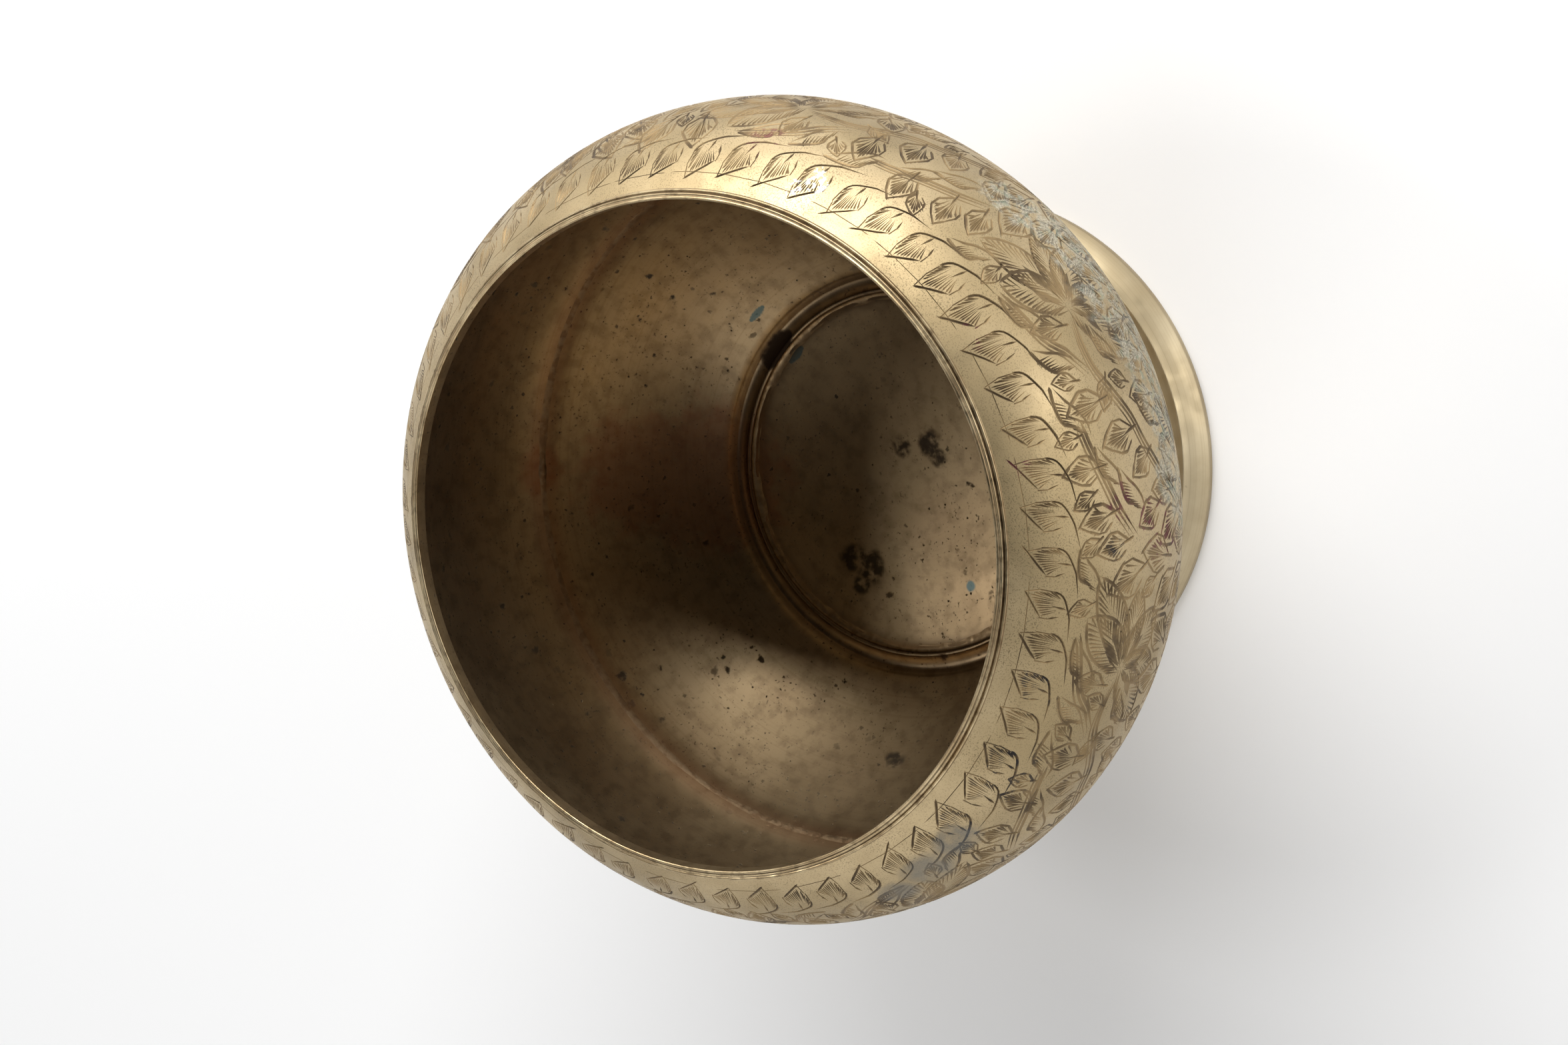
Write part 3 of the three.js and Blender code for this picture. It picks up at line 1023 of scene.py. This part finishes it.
def engraved_brass():
    """Olive, matt brass with a fine dark speckle; the cuts hold dirt and some old ink."""
    paint = Paint("engraved_brass", srgb(178, 159, 124))
    paint.coat(paint.clouds(22, 5, 0.36, 0.64), srgb(154, 136, 102))
    speckle = paint.times(
        paint.clouds(0.22, 4, 0.5, 0.66), paint.clouds(6, 4, 0.35, 0.7, 0.25, 0.65))
    paint.coat(speckle, srgb(92, 80, 58))
    cut_tone = paint.add("ShaderNodeAttribute", attribute_name="cut", output=2)
    in_cut = paint.ramp(cut_tone, 0.1, 0.45)
    dirty = paint.clouds(5, 4, 0.42, 0.66)
    cut_colour = paint.mix(dirty, srgb(134, 113, 80), srgb(82, 67, 47))
    cut_colour = paint.mix(paint.ramp(cut_tone, 0.5, 0.75), cut_colour, srgb(70, 57, 40))
    paint.colour = paint.mix(in_cut, paint.colour, cut_colour)
    paint.coat(paint.ramp(cut_tone, 0.76, 0.82), srgb(16, 13, 11))
    left_ink = paint.times(in_cut, paint.clouds(1.1, 4, 0.44, 0.6))
    for places, strength, stain in (
        (INK, 0.62, srgb(96, 40, 56)), (BLACK_INK, 0.75, srgb(28, 32, 40)),
    ):
        share = paint.times(paint.stains(places), left_ink)
        paint.coat(paint.times(share, strength), stain)
    chalk = paint.times(paint.stains(CHALK), paint.clouds(1.6, 6, 0.36, 0.58))
    chalk_colour = paint.mix(
        paint.clouds(0.3, 4, 0.3, 0.7), srgb(78, 76, 66), srgb(168, 165, 150))
    chalk_colour = paint.mix(
        paint.clouds(1.3, 5, 0.52, 0.62, 0, 0.7), chalk_colour, srgb(104, 118, 102))
    paint.colour = paint.mix(paint.times(chalk, 0.72), paint.colour, chalk_colour)
    cloud = paint.times(paint.stains(BLUE_GREY), paint.clouds(3, 6, 0.3, 0.6, 0.3, 0.65))
    paint.coat(cloud, srgb(98, 98, 94))
    flecks = paint.times(paint.stains(WHITE_FLECKS), paint.clouds(0.7, 3, 0.5, 0.56))
    paint.coat(flecks, srgb(232, 232, 230))
    dull = paint.most([chalk, flecks, cloud, paint.times(in_cut, 0.25)])
    roughness = paint.math("MULTIPLY_ADD", dull, 0.35, paint.clouds(4, 5, 0.3, 0.7, 0.44, 0.54))
    grain = paint.math("SUBTRACT", paint.noise(0.5, 4), speckle)
    return paint.close(roughness, grain, 0.012, paint.ramp(dull, 0, 1, 0.92, 0.1))


def lip_brass():
    """The lip is rubbed bright on its edges and brown in its grooves."""
    paint = Paint("lip_brass", srgb(182, 164, 130))
    paint.coat(paint.clouds(6, 5, 0.35, 0.65), srgb(152, 132, 100))
    for groove in (INNER_GROOVE, OUTER_GROOVE, LIP_WIDTH):
        away = paint.math("SUBTRACT", paint.radius(), (MOUTH_RADIUS + groove) * MM)
        away = paint.math("ABSOLUTE", away)
        paint.coat(paint.ramp(away, 0.03 * MM, 0.13 * MM, 0.5, 0), srgb(96, 74, 52))
    paint.coat(paint.clouds(1.2, 4, 0.5, 0.7, 0, 0.5), srgb(84, 66, 44))
    return paint.close(paint.clouds(2, 4, 0.3, 0.7, 0.28, 0.45), paint.noise(0.6, 3), 0.01)


def streak(turn, radius, height, half_length, size):
    """A long stain that follows the pot round, as places and sizes; its length in degrees."""
    return [(around(turn + half_length * share, radius, height), size * (1 - 0.45 * share ** 2))
            for share in np.linspace(-1, 1, 7)]


# Marks inside, each a place and a size in millimetres
BLACK_SPOT = streak(-122.7, 31.5, LEDGE_HEIGHT - 0.3, 5.6, 2.5)
SMUDGES = (
    ((3.8, -3.9, 19.5), 2.8), ((4.6, 1.2, 19.5), 2.2), ((1.2, -4.6, 19.5), 2.2),
    ((-13.3, 13.4, 20.5), 3.4), ((-10.8, 16.2, 20.3), 2.8), ((-15.6, 15.8, 20.6), 2.2),
    ((-44.3, 12.6, 33.0), 2.2),
)
TEAL = [*streak(-116.9, 37.2, 25.6, 2.4, 0.95), *streak(-119.8, 28.5, 21.8, 3.0, 0.95),
        ((-20.8, -3.9, 20.9), 1.1)]
RED_CLOUD = (((9.0, 35.4, 25.0), 16), ((14, 44, 33), 13), ((19.0, 53.5, 47.1), 5))
OLD_METALLIC = 0.9  # the brown skin hides part of the metal


def old_brown_brass(name, light, dark, turned_marks, mend_and_shade):
    """Unpolished brass inside the pot: brown, pitted, and ringed by the lathe."""
    paint = Paint(name, light)
    paint.coat(paint.clouds(24, 4, 0.2, 0.8), dark)
    paint.coat(paint.clouds(2.4, 7, 0.42, 0.7, 0, 0.38), srgb(96, 78, 56))
    paint.coat(paint.times(paint.blots(RED_CLOUD), 0.4), srgb(140, 78, 50))
    rings = paint.turning(0.5)
    paint.coat(paint.ramp(rings, 0.5, 0.75, 0, turned_marks), srgb(112, 88, 60))
    pits = paint.most([
        paint.pits(4.4, 1.9, 0.8), paint.pits(2.0, 0.9, 0.9), paint.pits(1.1, 0.5, 0.8)])
    specks = paint.times(
        paint.clouds(0.55, 3, 0.6, 0.72), paint.clouds(7, 4, 0.35, 0.65, 0.1, 0.6))
    smudges = paint.times(paint.blots(SMUDGES), paint.clouds(1.6, 4, 0.3, 0.58))
    spots = paint.most([
        specks, paint.times(pits, 0.8), paint.times(smudges, 0.8), paint.blots(BLACK_SPOT)])
    paint.coat(spots, srgb(34, 31, 31))
    paint.coat(paint.times(paint.blots(TEAL), 0.85), srgb(70, 96, 98))
    # each caller's own coats: the braze ring, and painted shade at the floor's edges
    mend_and_shade(paint)
    roughness = paint.math("MULTIPLY_ADD", spots, 0.35, paint.clouds(8, 4, 0.2, 0.8, 0.34, 0.42))
    relief = paint.math("MULTIPLY_ADD", rings, turned_marks, paint.times(pits, -1.0))
    return paint.close(roughness, relief, 0.02, OLD_METALLIC)


def inner_brass():
    def mend_and_shade(paint):
        """A reddish ring where the two shells were brazed, and painted shade in the corner where
        the wall steps down to the ledge.
        """
        away = paint.math("ABSOLUTE", paint.math("SUBTRACT", paint.height(), SEAM_HEIGHT * MM))
        paint.coat(paint.ramp(away, 0.6 * MM, 3.2 * MM, 0.3, 0), srgb(150, 100, 66))
        # painted shade: a darker band round the corner at the step
        groove = paint.ramp(paint.radius(), (STEP_RADIUS - 0.8) * MM, (STEP_RADIUS + 0.3) * MM,
                            0.55, 0)
        paint.coat(groove, srgb(82, 62, 44))

    return old_brown_brass("inner_brass", srgb(173, 152, 118), srgb(154, 132, 100), 0.22, mend_and_shade)


def floor_brass():
    def mend_and_shade(paint):
        """Painted shade round the floor's rim, below the step up to the ledge."""
        # painted shade: darker towards the rim, where the ledge stands over the disc
        paint.coat(paint.ramp(paint.radius(), 27 * MM, 29.6 * MM, 0, 0.6), srgb(84, 66, 48))

    return old_brown_brass("floor_brass", srgb(166, 144, 110), srgb(144, 121, 90), 0.1, mend_and_shade)


def foot_brass():
    """Turned brass, handled and dull; the cove is painted darker brown as shade under the bowl."""
    paint = Paint("foot_brass", srgb(177, 163, 135))
    paint.coat(paint.clouds(14, 5, 0.35, 0.65), srgb(157, 142, 113))
    rings = paint.turning(0.3)
    paint.coat(paint.ramp(rings, 0.5, 0.72, 0, 0.4), srgb(124, 109, 80))
    # painted shade: darker brown towards the neck, in the cove that the bowl overhangs
    paint.coat(paint.ramp(paint.radius(), 35 * MM, 41 * MM, 0.6, 0), srgb(106, 84, 54))
    paint.coat(paint.times(paint.pits(2.6, 0.5, 0.3), 0.8), srgb(66, 54, 40))
    return paint.close(paint.clouds(3, 5, 0.3, 0.7, 0.4, 0.52), rings, 0.012, 0.9)


def spelter(name, light, dark):
    """Brazing spelter: duller than the brass, and mottled."""
    paint = Paint(name, light)
    paint.coat(paint.clouds(1.5, 4, 0.4, 0.6), dark)
    return paint.close(paint.clouds(0.8, 3, 0.3, 0.7, 0.4, 0.6), paint.noise(0.5, 3), 0.03)


def seam_spelter():
    return spelter("seam_spelter", srgb(158, 134, 104), srgb(138, 112, 84))


def floor_spelter():
    return spelter("floor_spelter", srgb(158, 136, 104), srgb(138, 116, 87))


def foot_spelter():
    return spelter("foot_spelter", srgb(140, 116, 86), srgb(116, 94, 68))


def dress(piece, node, metals):
    """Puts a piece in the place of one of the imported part's nodes, and gives both their metal."""
    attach(piece, "root")
    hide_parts(node)
    for metal in metals:
        piece.data.materials.append(metal)
    for material_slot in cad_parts[node].material_slots:
        material_slot.material = metals[0]


shoulder, bowl = build_shells()
foot_piece = foot()
floor_piece = dished_floor()
seam_piece = seam()
floor_fillet, foot_fillet = fillets()
shell_metals = (engraved_brass(), lip_brass(), inner_brass())
dress(shoulder, "shoulder_shell", shell_metals)
dress(bowl, "bowl_shell", shell_metals)
dress(foot_piece, "foot_ring", [foot_brass()])
dress(floor_piece, "floor_disc", [floor_brass()])
dress(seam_piece, "seam_braze", [seam_spelter()])
dress(floor_fillet, "floor_braze", [floor_spelter()])
dress(foot_fillet, "foot_braze", [foot_spelter()])

# ---------- camera, floor and light

CAMERA_TILT = math.radians(31.7)  # off the pot's axis
CAMERA_ROLL = math.radians(107.4)  # so the pot lies in the picture as it does in the photograph
CAMERA_DISTANCE = 460.4  # millimetres, as is the point the camera aims at
CAMERA_AIM = Vector((-1.6, 0, 64.5))
LENS = 68.9
SENSOR = 36


def make_camera():
    data = bpy.data.cameras.new("camera")
    data.lens = LENS
    data.sensor_width = SENSOR
    data.clip_start = 0.01
    camera = in_scene("camera", data)
    turn = Matrix.Rotation(CAMERA_TILT, 4, "X") @ Matrix.Rotation(-CAMERA_ROLL, 4, "Z")
    away = turn.to_3x3() @ Vector((0, 0, 1))
    place = (CAMERA_AIM + away * CAMERA_DISTANCE) * MM
    camera.matrix_world = Matrix.Translation(place) @ turn
    bpy.context.scene.camera = camera
    return camera


camera = make_camera()
RIGHT, UP, TOWARDS = (Vector(column) for column in camera.matrix_world.to_3x3().transposed())


def make_light(name, offset, size, watts):
    """A softbox aimed at the pot; offset is (right, up, towards the camera) as seen, in metres."""
    data = bpy.data.lights.new(name, "AREA")
    data.shape = "RECTANGLE"
    data.size, data.size_y = size
    data.energy = watts
    light = in_scene(name, data)
    aim = CAMERA_AIM * MM
    place = aim + RIGHT * offset[0] + UP * offset[1] + TOWARDS * offset[2]
    light.matrix_world = (
        Matrix.Translation(place) @ (place - aim).to_track_quat("Z", "Y").to_matrix().to_4x4())


make_light("key", (-0.28, 0.79, 0.51), (0.9, 0.4), 13)
make_light("right_fill", (0.7, 0.24, 0.66), (0.4, 0.4), 2.6)
make_light("low_fill", (-0.28, -0.75, 0.55), (0.6, 0.4), 2.3)
make_light("left_fill", (-0.91, 0.0, 0.37), (0.26, 0.26), 1.8)
make_light("wall_fill", (-0.73, 0.67, 0.15), (0.4, 0.3), 1.6)

FLOOR_HALF = 6.0  # metres, as is the distance at which the glow starts and is full
FLOOR_WHITE = (0.9, 0.9, 0.9, 1)
FLOOR_GLOW = 0.85  # painted glow: the floor emits light of its own where it runs out past the lights
GLOW_START, GLOW_FULL = 0.5, 1.3


def make_floor():
    mesh = bpy.data.meshes.new("floor")
    corners = [(x * FLOOR_HALF, y * FLOOR_HALF, 0) for x, y in ((-1, -1), (1, -1), (1, 1), (-1, 1))]
    mesh.from_pydata(corners, [], [(0, 1, 2, 3)])
    floor = in_scene("floor", mesh)
    paint = Paint("floor", FLOOR_WHITE)
    # painted glow: emission that grows with the distance from the pot
    shader = paint.add("ShaderNodeBsdfPrincipled", {
        "Base Color": paint.colour, "Roughness": 0.8, "Specular IOR Level": 0.1,
        "Emission Color": paint.colour,
        "Emission Strength": paint.ramp(paint.radius(), GLOW_START, GLOW_FULL, 0, FLOOR_GLOW)})
    paint.add("ShaderNodeOutputMaterial", {0: shader})
    mesh.materials.append(paint.material)


HORIZON_STRENGTH = 1.75
OVERHEAD_STRENGTH = 0.025
DIM_DIRECTION = (0.2, 0, 0.98)  # the dimmest part of the room is a little off straight up
DIM_START, DIM_FULL = 0.18, 0.5  # how far towards it the light fades


def make_world():
    """A studio that is bright near the horizon and dim overhead."""
    world = bpy.data.worlds.new("studio")
    studio = Nodes(world)
    direction = studio.add("ShaderNodeTexCoord")
    towards_dim = studio.add("ShaderNodeVectorMath", {0: direction, 1: DIM_DIRECTION}, 1,
                             operation="DOT_PRODUCT")
    strength = studio.ramp(
        towards_dim, DIM_START, DIM_FULL, HORIZON_STRENGTH, OVERHEAD_STRENGTH)
    back = studio.add("ShaderNodeBackground", {1: strength})
    studio.add("ShaderNodeOutputWorld", {0: back})
    bpy.context.scene.world = world


make_floor()
make_world()
bpy.context.scene.view_settings.view_transform = "Standard"
